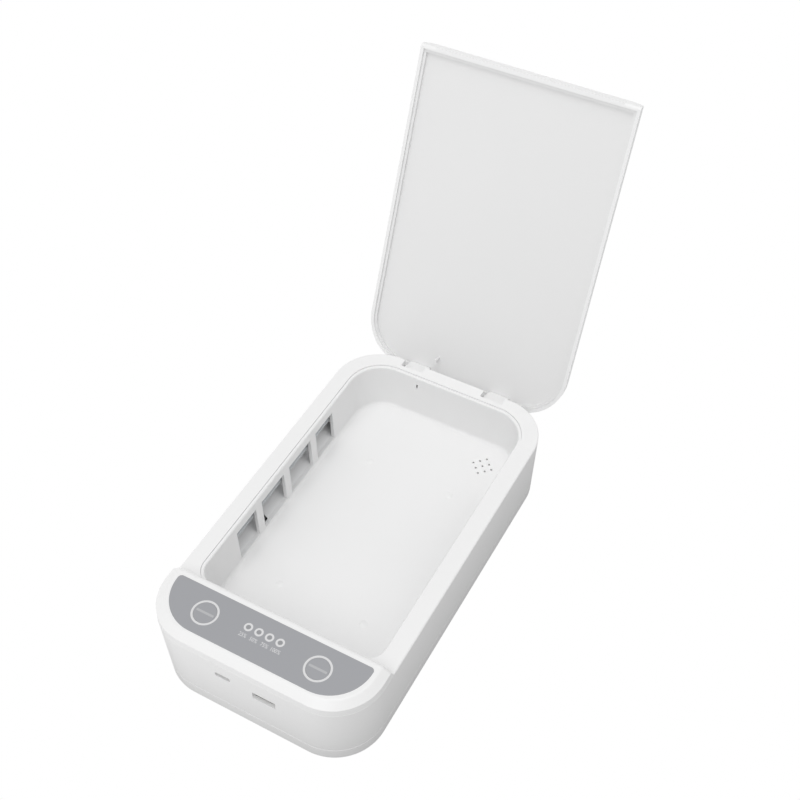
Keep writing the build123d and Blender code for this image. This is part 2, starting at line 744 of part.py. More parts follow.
def indicator_leds():
    """Four small lamps on the control board, under the light pipe."""
    leds = []
    width, depth, height = led_size
    for i in range(indicator_count):
        x = indicator_place(i)
        leds.append(block(x - width / 2, x + width / 2, indicator_y - depth / 2, indicator_y + depth / 2,
                          control_board_top, control_board_top + height))
    return Compound(children=leds)


def control_board():
    """Board under the deck with the switches and indicators."""
    half_x = control_board_half
    half_y = control_board_depth / 2
    board = block(-half_x, half_x, control_board_y - half_y, control_board_y + half_y,
                  control_board_top - board_thickness, control_board_top)
    for x, y in board_post_places:
        board -= stud(x, y, 0, top_height, screw_radius + touch_gap)
    return board


def main_board():
    """Board behind the ports, with a cut-out that the larger socket sinks into."""
    z0 = main_board_z - board_thickness / 2
    half = main_board_width / 2
    board = block(-half, half, main_board_front, main_board_front + main_board_depth,
                  z0, z0 + board_thickness)
    cut_half = usb_width / 2 + board_cutout_gap
    board -= block(usb_x - cut_half, usb_x + cut_half, main_board_front - 1,
                   port_face_y + usb_length + board_cutout_gap, 0, top_height)
    for x, y in main_post_places:
        board -= stud(x, y, 0, top_height, screw_radius + touch_gap)
    return board


def socket_shell(x, z, width, height, length):
    """Open-mouthed metal shell of a socket."""
    shell = block(x - width / 2, x + width / 2, port_face_y, port_face_y + length,
                  z - height / 2, z + height / 2)
    return shell - block(x - width / 2 + shell_sheet, x + width / 2 - shell_sheet,
                         port_face_y - 1, port_face_y + length - shell_sheet,
                         z - height / 2 + shell_sheet, z + height / 2 - shell_sheet)


def usb_a_socket():
    """Metal shell of the charging outlet, with the tabs that rest on the board."""
    shell = socket_shell(usb_x, usb_z, usb_width, usb_height, usb_length)
    tab_z = main_board_z + board_thickness / 2
    for side in (-1, 1):
        shell += block(usb_x + side * usb_width / 2, usb_x + side * (usb_width / 2 + usb_tab),
                       main_board_front + usb_tab, port_face_y + usb_length - usb_tab,
                       tab_z, tab_z + shell_sheet)
    return shell


def usb_a_tongue():
    """Insulating tongue inside the outlet."""
    half = usb_width / 2 - usb_tongue_side
    back = port_face_y + usb_length - shell_sheet
    tongue = block(usb_x - half, usb_x + half, port_face_y + usb_tongue_set, back,
                   usb_z + usb_tongue_low, usb_z + usb_tongue_high)
    inner_x = usb_width / 2 - shell_sheet
    inner_z = usb_height / 2 - shell_sheet
    root = block(usb_x - inner_x, usb_x + inner_x, back - usb_root, back, usb_z - inner_z, usb_z + inner_z)
    return tongue + root


def micro_usb_socket():
    """Metal shell of the power inlet, standing on the board."""
    return socket_shell(micro_x, micro_z, micro_width, micro_height, micro_length)


def micro_usb_tongue():
    """Insulating tongue inside the inlet."""
    half = micro_width / 2 - micro_tongue_side
    back = port_face_y + micro_length - shell_sheet
    tongue = block(micro_x - half, micro_x + half, port_face_y + micro_tongue_set, back,
                   micro_z + micro_tongue_low, micro_z + micro_tongue_high)
    inner_x = micro_width / 2 - shell_sheet
    inner_z = micro_height / 2 - shell_sheet
    root = block(micro_x - inner_x, micro_x + inner_x, back - micro_root, back,
                 micro_z - inner_z, micro_z + inner_z)
    return tongue + root


def board_part(x, y, size):
    """Block of a given size that stands on the main board."""
    width, depth, height = size
    z0 = main_board_z + board_thickness / 2
    return block(x - width / 2, x + width / 2, y - depth / 2, y + depth / 2, z0, z0 + height)


def lamp_transformer():
    """Transformer that drives the lamps: core and coil."""
    y = main_board_front + main_board_depth / 2
    return board_part(transformer_x, y, transformer_size) + board_part(transformer_x, y, coil_size)


def controller_chip():
    """Controller on the main board."""
    return board_part(chip_x, main_board_front + main_board_depth / 2, chip_size)


def lamp_y_span():
    """Front and back end of a lamp's tube."""
    spans = window_spans()
    return spans[0][0] - lamp_overhang, spans[-1][1] + lamp_overhang


def reflector_depth():
    """Room between the tray and the leaning wall of the housing."""
    return half_width - wall - side_draft - tray_half


def lamp_x(side):
    """X of a lamp's axis, close behind the tray's wall."""
    return side * (tray_half + lamp_clearance + lamp_radius)


def uv_lamp(side):
    """Quartz tube with a pin at each end."""
    y0, y1 = lamp_y_span()
    x = lamp_x(side)
    tube = rod_y(x, y0, y1, lamp_z, lamp_radius)
    return tube + rod_y(x, y0 - lamp_pin_length, y1 + lamp_pin_length, lamp_z, lamp_pin_radius)


def lamp_reflector(side):
    """Trough of bent aluminium sheet behind the windows, in two lengths, with flanges on the tray.

    The hollow of the trough runs from the lower to the upper edge of the windows.
    """
    middle_z = (window_bottom + window_top) / 2
    reach = (window_top - window_bottom) / 2
    hollow_depth = reflector_depth() - reflector_sheet
    hollow_radius = (reach ** 2 + hollow_depth ** 2) / (2 * hollow_depth)
    outer_radius = hollow_radius + reflector_sheet
    face_x = side * tray_half
    centre_x = side * (tray_half + reflector_depth() - outer_radius)
    y0, y1 = lamp_y_span()
    joint_y = window_spans()[1][0] + reflector_joint
    lengths = []
    for start, end in ((y0, joint_y), (joint_y + reflector_joint_gap, y1)):
        trough = rod_y(centre_x, start, end, middle_z, outer_radius)
        trough &= block(face_x, side * body_width, start, end, 0, top_height)
        for way in (-1, 1):
            edge_z = middle_z + way * reach
            trough += block(face_x, face_x + side * reflector_sheet, start, end,
                            edge_z, edge_z + way * reflector_flange)
        trough -= rod_y(centre_x, start - 1, end + 1, middle_z, hollow_radius)
        lengths.append(trough)
    return Compound(children=lengths)


def lamp_holders(side):
    """Two silicone blocks that hold a lamp's ends against the tray."""
    x = lamp_x(side)
    x_in = side * tray_half
    x_out = x + side * holder_wrap
    y0, y1 = lamp_y_span()
    holders = []
    for start in (y0, y1 - holder_length):
        end = start + holder_length
        holder = block(x_in, x_out, start, end, lamp_z - holder_height / 2, lamp_z + holder_height / 2)
        holders.append(holder - rod_y(x, start - 1, end + 1, lamp_z, lamp_radius))
    return Compound(children=holders)


def lid_sensor_board():
    """Small board behind the slot in the tray's back wall."""
    y0 = tray_back_y + sensor_depth
    x = sensor_slot_x + sensor_board_shift
    half = sensor_board_size / 2
    return block(x - half, x + half, y0, y0 + board_thickness / 2,
                 sensor_slot_z - half, sensor_slot_z + half)


def lid_sensor():
    """Light sensor that looks through the slot."""
    width, height = sensor_size
    return block(sensor_slot_x - width / 2, sensor_slot_x + width / 2,
                 tray_back_y, tray_back_y + sensor_depth,
                 sensor_slot_z - height / 2, sensor_slot_z + height / 2)


def scent_cup():
    """Cup under the nine holes that holds the scent pad."""
    half = scent_cup_size / 2
    z0 = tray_bottom - scent_cup_height
    cup = block(scent_x - half, scent_x + half, scent_y - half, scent_y + half, z0, tray_bottom)
    cup = fillet(cup.edges().filter_by(Axis.Z), scent_cup_round)
    hole = half - scent_cup_wall
    return cup - block(scent_x - hole, scent_x + hole, scent_y - hole, scent_y + hole,
                       z0 + scent_cup_wall, tray_bottom + 1)


def scent_pad():
    """Felt pad that takes up scented oil."""
    half = scent_cup_size / 2 - scent_cup_wall - scent_pad_gap
    z0 = tray_bottom - scent_cup_height + scent_cup_wall
    return block(scent_x - half, scent_x + half, scent_y - half, scent_y + half,
                 z0, tray_bottom - scent_pad_gap)


def screw(x, y, head_z, length):
    """Pan-head screw driven upwards."""
    head = stud(x, y, head_z - screw_head_height, head_z, screw_head_radius)
    return head + stud(x, y, head_z, head_z + length, screw_radius)


def case_screws():
    """Four screws that hold the bottom cover to the housing."""
    z = cover_floor + screw_seat
    return Compound(children=[screw(x, y, z, seam_height + screw_bite - z) for x, y in case_boss_places])


def tray_screws():
    """Four screws that hold the tray under the rim."""
    length = tray_lug_thickness + screw_bite - screw_end_gap
    return Compound(children=[screw(x, y, tray_lug_bottom, length) for x, y in tray_lug_places])


def control_board_screws():
    """Four screws that hold the control board under the deck."""
    z = control_board_top - board_thickness
    length = board_thickness + board_screw_bite
    return Compound(children=[screw(x, y, z, length) for x, y in board_post_places])


def main_board_screws():
    """Four screws that hold the main board on the cover's posts."""
    z = main_board_z + board_thickness / 2
    screws = []
    for x, y in main_post_places:
        upright = screw(0, 0, 0, board_thickness + board_screw_bite)
        screws.append(Pos(x, y, z) * Rot(180, 0, 0) * upright)
    return Compound(children=screws)


nodes = {
    "upper_housing": upper_housing(),
    "inner_tray": inner_tray(),
    "bottom_cover": bottom_cover(),
    "rubber_feet": rubber_feet(),
    "lid_shell": swing_open(closed_lid()),
    "lid_liner": swing_open(lid_liner()),
    "control_panel": control_panel(),
    "control_board": control_board(),
    "indicator_rings": indicator_rings(),
    "indicator_light_pipe": indicator_light_pipe(),
    "indicator_leds": indicator_leds(),
    "main_board": main_board(),
    "usb_a_socket": usb_a_socket(),
    "usb_a_tongue": usb_a_tongue(),
    "micro_usb_socket": micro_usb_socket(),
    "micro_usb_tongue": micro_usb_tongue(),
    "lamp_transformer": lamp_transformer(),
    "controller_chip": controller_chip(),
    "lid_sensor_board": lid_sensor_board(),
    "lid_sensor": lid_sensor(),
    "scent_cup": scent_cup(),
    "scent_pad": scent_pad(),
    "case_screws": case_screws(),
    "tray_screws": tray_screws(),
    "control_board_screws": control_board_screws(),
    "main_board_screws": main_board_screws(),
}
for name, side in sides:
    nodes[f"hinge_pin_{name}"] = hinge_pin(side)
    nodes[f"{name}_button"] = button(side)
    nodes[f"{name}_button_ring"] = button_ring(side)
    nodes[f"{name}_button_switch"] = switch_body(side)
    nodes[f"{name}_switch_plunger"] = switch_plunger(side)
    nodes[f"uv_lamp_{name}"] = uv_lamp(side)
    nodes[f"lamp_reflector_{name}"] = lamp_reflector(side)
    nodes[f"lamp_holders_{name}"] = lamp_holders(side)

os.makedirs("parts", exist_ok=True)
for node, shape in nodes.items():
    export_step(shape, f"parts/{node}.step")
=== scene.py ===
import math
import bpy
import bmesh
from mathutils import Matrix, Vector


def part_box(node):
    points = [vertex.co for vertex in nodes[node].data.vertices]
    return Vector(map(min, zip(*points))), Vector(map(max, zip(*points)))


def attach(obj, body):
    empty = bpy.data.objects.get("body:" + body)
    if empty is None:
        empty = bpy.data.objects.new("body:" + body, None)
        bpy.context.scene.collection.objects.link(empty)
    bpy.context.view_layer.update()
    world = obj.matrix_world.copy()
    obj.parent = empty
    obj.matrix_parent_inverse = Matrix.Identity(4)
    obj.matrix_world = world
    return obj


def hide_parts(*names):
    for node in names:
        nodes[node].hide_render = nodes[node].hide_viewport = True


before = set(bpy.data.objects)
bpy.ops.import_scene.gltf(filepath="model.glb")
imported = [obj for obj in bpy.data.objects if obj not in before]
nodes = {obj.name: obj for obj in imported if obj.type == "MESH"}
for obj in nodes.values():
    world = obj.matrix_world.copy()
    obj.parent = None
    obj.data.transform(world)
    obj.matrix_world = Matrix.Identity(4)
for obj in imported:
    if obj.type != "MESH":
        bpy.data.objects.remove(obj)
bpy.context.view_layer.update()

mergeDistance = 1e-6
levelNormal = 0.9  # a face counts as level from this height of its normal


# ---------- small helpers ----------

def deselectAll():
    if bpy.context.object and bpy.context.object.mode != "OBJECT":
        bpy.ops.object.mode_set(mode="OBJECT")
    bpy.ops.object.select_all(action="DESELECT")


def makeActive(piece):
    deselectAll()
    piece.select_set(True)
    bpy.context.view_layer.objects.active = piece


def settle(piece):
    # object back to the origin, its place kept in the mesh
    makeActive(piece)
    bpy.ops.object.transform_apply(location=True, rotation=True, scale=True)
    return piece


def outwards(piece):
    makeActive(piece)
    bpy.ops.object.mode_set(mode="EDIT")
    bpy.ops.mesh.select_all(action="SELECT")
    bpy.ops.mesh.remove_doubles(threshold=mergeDistance)
    bpy.ops.mesh.normals_make_consistent(inside=False)
    bpy.ops.object.mode_set(mode="OBJECT")
    return piece


def finishPiece(piece, name, body, material):
    piece.name = name
    piece.data.name = name
    piece.data.materials.clear()
    piece.data.materials.append(material)
    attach(piece, body)
    return piece


def joinAll(pieces):
    deselectAll()
    for piece in pieces:
        piece.select_set(True)
    bpy.context.view_layer.objects.active = pieces[0]
    bpy.ops.object.join()
    return bpy.context.object


def pickFaces(piece, wanted):
    # in edit mode: only the faces that pass the test end up selected
    bpy.ops.mesh.select_all(action="DESELECT")
    shape = bmesh.from_edit_mesh(piece.data)
    for face in shape.faces:
        face.select_set(wanted(face))
    bmesh.update_edit_mesh(piece.data)


def facesDown(face):
    return face.normal.z < -levelNormal


def facesUp(face):
    return face.normal.z > levelNormal


def atFourCorners(piece, low, high, radius):
    # the piece stands at the box's low corner, and its twins go to the other three
    across, along = high.x - low.x - 2 * radius, high.y - low.y - 2 * radius
    pieces = [piece]
    for x, y in ((across, 0), (0, along), (across, along)):
        deselectAll()
        twin = piece.copy()
        twin.data = piece.data.copy()
        bpy.context.scene.collection.objects.link(twin)
        twin.location = (x, y, 0)
        pieces.append(settle(twin))
    return joinAll(pieces)


# ---------- shader groups ----------

brushTone = 0.12  # how far the fine lines of drawn metal swing in tone


def newGroup(name, inputs, outputs):
    tree = bpy.data.node_groups.new(name, "ShaderNodeTree")
    for label, kind, value in inputs:
        socket = tree.interface.new_socket(name=label, in_out="INPUT", socket_type=kind)
        socket.default_value = value
    for label, kind in outputs:
        tree.interface.new_socket(name=label, in_out="OUTPUT", socket_type=kind)
    return tree, tree.nodes.new("NodeGroupInput"), tree.nodes.new("NodeGroupOutput")


def makeMouldSkin():
    # fine spark-erosion grain, slow thickness waves and a faint tone drift of moulded plastic
    tree, start, end = newGroup(
        "mouldSkin",
        [("Grain Size", "NodeSocketFloat", 0.0004), ("Wave Size", "NodeSocketFloat", 0.03),
         ("Color", "NodeSocketColor", (0.8, 0.8, 0.8, 1)), ("Tone", "NodeSocketFloat", 0.02),
         ("Roughness", "NodeSocketFloat", 0.35), ("Roughness Drift", "NodeSocketFloat", 0.05)],
        [("Color", "NodeSocketColor"), ("Roughness", "NodeSocketFloat"), ("Height", "NodeSocketFloat")])
    make, wire = tree.nodes.new, tree.links.new
    coord = make("ShaderNodeTexCoord")
    fineScale = make("ShaderNodeMath")
    fineScale.operation = "DIVIDE"
    fineScale.inputs[0].default_value = 1
    wire(start.outputs["Grain Size"], fineScale.inputs[1])
    fine = make("ShaderNodeTexNoise")
    fine.inputs["Detail"].default_value = 2
    wire(coord.outputs["Object"], fine.inputs["Vector"])
    wire(fineScale.outputs[0], fine.inputs["Scale"])
    slowScale = make("ShaderNodeMath")
    slowScale.operation = "DIVIDE"
    slowScale.inputs[0].default_value = 1
    wire(start.outputs["Wave Size"], slowScale.inputs[1])
    slow = make("ShaderNodeTexNoise")
    slow.inputs["Detail"].default_value = 3
    wire(coord.outputs["Object"], slow.inputs["Vector"])
    wire(slowScale.outputs[0], slow.inputs["Scale"])
    drift = make("ShaderNodeMath")
    drift.operation = "SUBTRACT"
    drift.inputs[1].default_value = 0.5
    wire(slow.outputs["Fac"], drift.inputs[0])
    tone = make("ShaderNodeMath")
    tone.operation = "MULTIPLY_ADD"
    tone.inputs[2].default_value = 1
    wire(drift.outputs[0], tone.inputs[0])
    wire(start.outputs["Tone"], tone.inputs[1])
    shade = make("ShaderNodeVectorMath")
    shade.operation = "SCALE"
    wire(start.outputs["Color"], shade.inputs[0])
    wire(tone.outputs[0], shade.inputs["Scale"])
    wire(shade.outputs[0], end.inputs["Color"])
    rough = make("ShaderNodeMath")
    rough.operation = "MULTIPLY_ADD"
    wire(drift.outputs[0], rough.inputs[0])
    wire(start.outputs["Roughness Drift"], rough.inputs[1])
    wire(start.outputs["Roughness"], rough.inputs[2])
    wire(rough.outputs[0], end.inputs["Roughness"])
    wire(fine.outputs["Fac"], end.inputs["Height"])
    return tree


def makeBrushedSkin():
    # rolled or drawn metal: long fine lines along Y
    tree, start, end = newGroup(
        "brushedSkin",
        [("Color", "NodeSocketColor", (0.7, 0.7, 0.7, 1)), ("Line Size", "NodeSocketFloat", 0.0003),
         ("Stretch", "NodeSocketFloat", 30.0), ("Roughness", "NodeSocketFloat", 0.25),
         ("Roughness Drift", "NodeSocketFloat", 0.15)],
        [("Color", "NodeSocketColor"), ("Roughness", "NodeSocketFloat"), ("Height", "NodeSocketFloat")])
    make, wire = tree.nodes.new, tree.links.new
    coord = make("ShaderNodeTexCoord")
    stretch = make("ShaderNodeMath")
    stretch.operation = "DIVIDE"
    stretch.inputs[0].default_value = 1
    wire(start.outputs["Stretch"], stretch.inputs[1])
    shape = make("ShaderNodeCombineXYZ")
    shape.inputs[0].default_value = 1
    shape.inputs[2].default_value = 1
    wire(stretch.outputs[0], shape.inputs[1])
    squeeze = make("ShaderNodeVectorMath")
    squeeze.operation = "MULTIPLY"
    wire(coord.outputs["Object"], squeeze.inputs[0])
    wire(shape.outputs[0], squeeze.inputs[1])
    lineScale = make("ShaderNodeMath")
    lineScale.operation = "DIVIDE"
    lineScale.inputs[0].default_value = 1
    wire(start.outputs["Line Size"], lineScale.inputs[1])
    lines = make("ShaderNodeTexNoise")
    lines.inputs["Detail"].default_value = 4
    wire(squeeze.outputs[0], lines.inputs["Vector"])
    wire(lineScale.outputs[0], lines.inputs["Scale"])
    drift = make("ShaderNodeMath")
    drift.operation = "SUBTRACT"
    drift.inputs[1].default_value = 0.5
    wire(lines.outputs["Fac"], drift.inputs[0])
    rough = make("ShaderNodeMath")
    rough.operation = "MULTIPLY_ADD"
    wire(drift.outputs[0], rough.inputs[0])
    wire(start.outputs["Roughness Drift"], rough.inputs[1])
    wire(start.outputs["Roughness"], rough.inputs[2])
    tone = make("ShaderNodeMath")
    tone.operation = "MULTIPLY_ADD"
    tone.inputs[1].default_value = brushTone
    tone.inputs[2].default_value = 1
    wire(drift.outputs[0], tone.inputs[0])
    shade = make("ShaderNodeVectorMath")
    shade.operation = "SCALE"
    wire(start.outputs["Color"], shade.inputs[0])
    wire(tone.outputs[0], shade.inputs["Scale"])
    wire(shade.outputs[0], end.inputs["Color"])
    wire(rough.outputs[0], end.inputs["Roughness"])
    wire(lines.outputs["Fac"], end.inputs["Height"])
    return tree


mouldSkin = makeMouldSkin()
brushedSkin = makeBrushedSkin()
print("stage: shader groups built")


# ---------- materials ----------

def startMaterial(name):
    mat = bpy.data.materials.new(name)
    mat.use_nodes = True
    return mat, mat.node_tree, mat.node_tree.nodes["Principled BSDF"]


def addBump(tree, shader, height, strength, distance):
    bump = tree.nodes.new("ShaderNodeBump")
    bump.inputs["Strength"].default_value = strength
    bump.inputs["Distance"].default_value = distance
    tree.links.new(height, bump.inputs["Height"])
    tree.links.new(bump.outputs["Normal"], shader.inputs["Normal"])


def plasticMaterial(name, look):
    mat, tree, shader = startMaterial(name)
    skin = tree.nodes.new("ShaderNodeGroup")
    skin.node_tree = mouldSkin
    skin.inputs["Grain Size"].default_value = look["grain"]
    skin.inputs["Wave Size"].default_value = look["wave"]
    skin.inputs["Color"].default_value = (*look["color"], 1)
    skin.inputs["Tone"].default_value = look["tone"]
    skin.inputs["Roughness"].default_value = look["rough"]
    skin.inputs["Roughness Drift"].default_value = look["roughDrift"]
    tree.links.new(skin.outputs["Color"], shader.inputs["Base Color"])
    tree.links.new(skin.outputs["Roughness"], shader.inputs["Roughness"])
    addBump(tree, shader, skin.outputs["Height"], look["bump"], look["depth"])
    shader.inputs["Coat Weight"].default_value = look.get("coat", 0)
    shader.inputs["Coat Roughness"].default_value = look.get("coatRough", 0.2)
    shader.inputs["IOR"].default_value = look.get("ior", 1.5)
    if "see" in look:
        shader.inputs["Transmission Weight"].default_value = look["see"]
    return mat


def paintedShadeUpwards(tree, tone, look):
    # painted shade: the sheet's colour is darkened towards its upper edge, standing in for the shade it
    # lies in behind the wall
    make, wire = tree.nodes.new, tree.links.new
    coord = make("ShaderNodeTexCoord")
    apart = make("ShaderNodeSeparateXYZ")
    wire(coord.outputs["Object"], apart.inputs[0])
    fade = make("ShaderNodeMapRange")
    fade.inputs["From Min"].default_value = look["paintedShadeFrom"]
    fade.inputs["From Max"].default_value = look["paintedShadeTo"]
    fade.inputs["To Min"].default_value = 1
    fade.inputs["To Max"].default_value = look["paintedShade"]
    wire(apart.outputs["Z"], fade.inputs["Value"])
    shade = make("ShaderNodeVectorMath")
    shade.operation = "SCALE"
    wire(tone, shade.inputs[0])
    wire(fade.outputs["Result"], shade.inputs["Scale"])
    return shade.outputs[0]


def metalMaterial(name, look):
    mat, tree, shader = startMaterial(name)
    skin = tree.nodes.new("ShaderNodeGroup")
    skin.node_tree = brushedSkin
    skin.inputs["Color"].default_value = (*look["color"], 1)
    skin.inputs["Line Size"].default_value = look["line"]
    skin.inputs["Stretch"].default_value = look["stretch"]
    skin.inputs["Roughness"].default_value = look["rough"]
    skin.inputs["Roughness Drift"].default_value = look["roughDrift"]
    tone = skin.outputs["Color"]
    # painted shade on the reflector: its colour darkens towards its upper edge
    if "paintedShade" in look:
        tone = paintedShadeUpwards(tree, tone, look)
    tree.links.new(tone, shader.inputs["Base Color"])
    tree.links.new(skin.outputs["Roughness"], shader.inputs["Roughness"])
    shader.inputs["Metallic"].default_value = look.get("metal", 1)
    addBump(tree, shader, skin.outputs["Height"], look["bump"], look["depth"])
    return mat


caseLook = {"color": (0.86, 0.86, 0.86), "grain": 0.00035, "wave": 0.04, "tone": 0.012, "rough": 0.38,
            "roughDrift": 0.06, "bump": 0.12, "depth": 0.00003, "coat": 0.10, "coatRough": 0.25}
trayLook = {"color": (0.86, 0.86, 0.86), "grain": 0.0005, "wave": 0.05, "tone": 0.015, "rough": 0.45,
            "roughDrift": 0.07, "bump": 0.15, "depth": 0.00003}
linerLook = dict(trayLook, color=(0.80, 0.80, 0.80), tone=0.02)
footLook = {"color": (0.55, 0.55, 0.54), "grain": 0.0003, "wave": 0.006, "tone": 0.10, "rough": 0.75,
            "roughDrift": 0.1, "bump": 0.4, "depth": 0.00005}
panelLook = {"color": (0.340, 0.345, 0.364), "grain": 0.00025, "wave": 0.05, "tone": 0.03, "rough": 0.42,
             "roughDrift": 0.05, "bump": 0.15, "depth": 0.00002, "coat": 0.15, "coatRough": 0.3}
capLook = dict(panelLook, tone=0.02)
ringLook = {"color": (0.70, 0.70, 0.705), "grain": 0.0003, "wave": 0.004, "tone": 0.02, "rough": 0.3,
            "roughDrift": 0.05, "bump": 0.05, "depth": 0.00002}
pipeLook = {"color": (0.36, 0.365, 0.38), "grain": 0.001, "wave": 0.01, "tone": 0.02, "rough": 0.30,
            "roughDrift": 0.05, "bump": 0.05, "depth": 0.00002, "see": 0.15, "ior": 1.49}
ledLook = {"color": (0.85, 0.80, 0.55), "grain": 0.0005, "wave": 0.002, "tone": 0.05, "rough": 0.35,
           "roughDrift": 0.05, "bump": 0.05, "depth": 0.00002}
boardLook = {"color": (0.03, 0.22, 0.08), "grain": 0.0002, "wave": 0.004, "tone": 0.25, "rough": 0.4,
             "roughDrift": 0.1, "bump": 0.2, "depth": 0.00003, "coat": 0.4, "coatRough": 0.25}
blackLook = {"color": (0.02, 0.02, 0.022), "grain": 0.0002, "wave": 0.003, "tone": 0.2, "rough": 0.5,
             "roughDrift": 0.1, "bump": 0.3, "depth": 0.00003}
tongueLook = {"color": (0.80, 0.80, 0.79), "grain": 0.0002, "wave": 0.003, "tone": 0.05, "rough": 0.4,
              "roughDrift": 0.05, "bump": 0.1, "depth": 0.00002}
coreLook = {"color": (0.42, 0.30, 0.06), "grain": 0.0004, "wave": 0.002, "tone": 0.3, "rough": 0.5,
            "roughDrift": 0.1, "bump": 0.3, "depth": 0.00005}
feltLook = {"color": (0.80, 0.79, 0.75), "grain": 0.0003, "wave": 0.002, "tone": 0.2, "rough": 0.95,
            "roughDrift": 0.05, "bump": 0.8, "depth": 0.0003}
siliconeLook = {"color": (0.74, 0.74, 0.73), "grain": 0.0003, "wave": 0.004, "tone": 0.06, "rough": 0.6,
                "roughDrift": 0.1, "bump": 0.15, "depth": 0.00003}
socketLook = {"color": (0.78, 0.78, 0.77), "line": 0.0001, "stretch": 20, "rough": 0.22, "roughDrift": 0.15,
              "bump": 0.1, "depth": 0.00001}
screwLook = {"color": (0.66, 0.66, 0.65), "line": 0.0002, "stretch": 3, "rough": 0.3, "roughDrift": 0.2,
             "bump": 0.1, "depth": 0.00001}
pinLook = {"color": (0.70, 0.70, 0.70), "line": 0.00015, "stretch": 2, "rough": 0.2, "roughDrift": 0.1,
           "bump": 0.05, "depth": 0.00001}
# the reflector's colour carries painted shade, darker towards its upper edge
satinLook = {"color": (0.86, 0.865, 0.87), "line": 0.0004, "stretch": 60, "rough": 0.5, "roughDrift": 0.12,
             "bump": 0.1, "depth": 0.00002, "metal": 0.35, "paintedShade": 0.27,
             "paintedShadeFrom": 0.016, "paintedShadeTo": 0.028}
quartzLook = {"color": (0.90, 0.93, 0.96), "grain": 0.003, "wave": 0.01, "tone": 0.03, "rough": 0.05,
              "roughDrift": 0.04, "bump": 0.03, "depth": 0.00002, "see": 0.5, "ior": 1.46}

whiteCase = plasticMaterial("whiteCase", caseLook)
whiteTray = plasticMaterial("whiteTray", trayLook)
whiteLiner = plasticMaterial("whiteLiner", linerLook)
footRubber = plasticMaterial("footRubber", footLook)
greyPanel = plasticMaterial("greyPanel", panelLook)
greyCap = plasticMaterial("greyCap", capLook)
whiteRing = plasticMaterial("whiteRing", ringLook)
greyPrint = plasticMaterial("greyPrint", dict(ringLook, color=(0.46, 0.465, 0.475)))
clearPipe = plasticMaterial("clearLightPipe", pipeLook)
ledBody = plasticMaterial("ledBody", ledLook)
circuitBoard = plasticMaterial("circuitBoard", boardLook)
blackPlastic = plasticMaterial("blackPlastic", blackLook)
whiteTongue = plasticMaterial("whiteTongue", tongueLook)
transformerCore = plasticMaterial("transformerCore", coreLook)
feltPad = plasticMaterial("feltPad", feltLook)
holderSilicone = plasticMaterial("holderSilicone", siliconeLook)
socketMetal = metalMaterial("socketMetal", socketLook)
switchMetal = metalMaterial("switchMetal", dict(socketLook, rough=0.3))
screwSteel = metalMaterial("screwSteel", screwLook)
pinSteel = metalMaterial("pinSteel", pinLook)
satinAluminium = metalMaterial("satinAluminium", satinLook)
lampQuartz = plasticMaterial("lampQuartz", quartzLook)

finishes = {
    "upper_housing": whiteCase, "bottom_cover": whiteCase, "lid_shell": whiteCase,
    "inner_tray": whiteTray, "lid_liner": whiteLiner, "scent_cup": whiteTray, "rubber_feet": footRubber,
    "control_panel": greyPanel, "left_button": greyCap, "right_button": greyCap,
    "left_button_ring": whiteRing, "right_button_ring": whiteRing, "indicator_rings": whiteRing,
    "indicator_light_pipe": clearPipe, "indicator_leds": ledBody,
    "control_board": circuitBoard, "main_board": circuitBoard, "lid_sensor_board": circuitBoard,
    "left_button_switch": switchMetal, "right_button_switch": switchMetal,
    "left_switch_plunger": blackPlastic, "right_switch_plunger": blackPlastic,
    "usb_a_socket": socketMetal, "micro_usb_socket": socketMetal,
    "usb_a_tongue": whiteTongue, "micro_usb_tongue": blackPlastic,
    "lamp_transformer": transformerCore, "controller_chip": blackPlastic, "lid_sensor": blackPlastic,
    "scent_pad": feltPad, "case_screws": screwSteel, "tray_screws": screwSteel,
    "control_board_screws": screwSteel, "main_board_screws": screwSteel,
    "hinge_pin_left": pinSteel, "hinge_pin_right": pinSteel,
    "uv_lamp_left": lampQuartz, "uv_lamp_right": lampQuartz,
    "lamp_reflector_left": satinAluminium, "lamp_reflector_right": satinAluminium,
    "lamp_holders_left": holderSilicone, "lamp_holders_right": holderSilicone,
}
for nodeName, finish in finishes.items():
    for place in nodes[nodeName].material_slots:
        place.material = finish
print("stage: finishes on", len(finishes), "of", len(nodes), "nodes")


# ---------- printed percentages ----------

printLook = {"text": ["25%", "50%", "75%", "100%"], "height": 0.0021, "pitch": 0.0059, "y": -0.0899,
             "proud": 0.00003, "sink": 0.00002, "wide": 0.84, "sizePerHeight": 1.4, "curveSteps": 3}


def makePercentages():
    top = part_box("control_panel")[1][2]
    middle = (len(printLook["text"]) - 1) / 2
    marks = []
    for i, words in enumerate(printLook["text"]):
        deselectAll()
        x = (i - middle) * printLook["pitch"]
        bpy.ops.object.text_add(location=(x, printLook["y"], top - printLook["sink"]))
        mark = bpy.context.object
        mark.data.body = words
        mark.data.size = printLook["height"] * printLook["sizePerHeight"]
        mark.data.align_x = "CENTER"
        mark.data.align_y = "CENTER"
        mark.data.extrude = printLook["proud"]
        mark.data.resolution_u = printLook["curveSteps"]
        mark.scale = (printLook["wide"], 1, 1)
        makeActive(mark)
        bpy.ops.object.convert(target="MESH")
        marks.append(settle(bpy.context.object))
    return finishPiece(outwards(joinAll(marks)), "printedPercentages", "base", whiteRing)


makePercentages()
print("stage: printed percentages")


# ---------- plain bars printed on the buttons ----------

barLook = {"long": 0.0095, "wide": 0.0012, "thick": 0.00006, "sink": 0.00003, "cornerRound": 0.0004,
           "cornerSteps": 4}


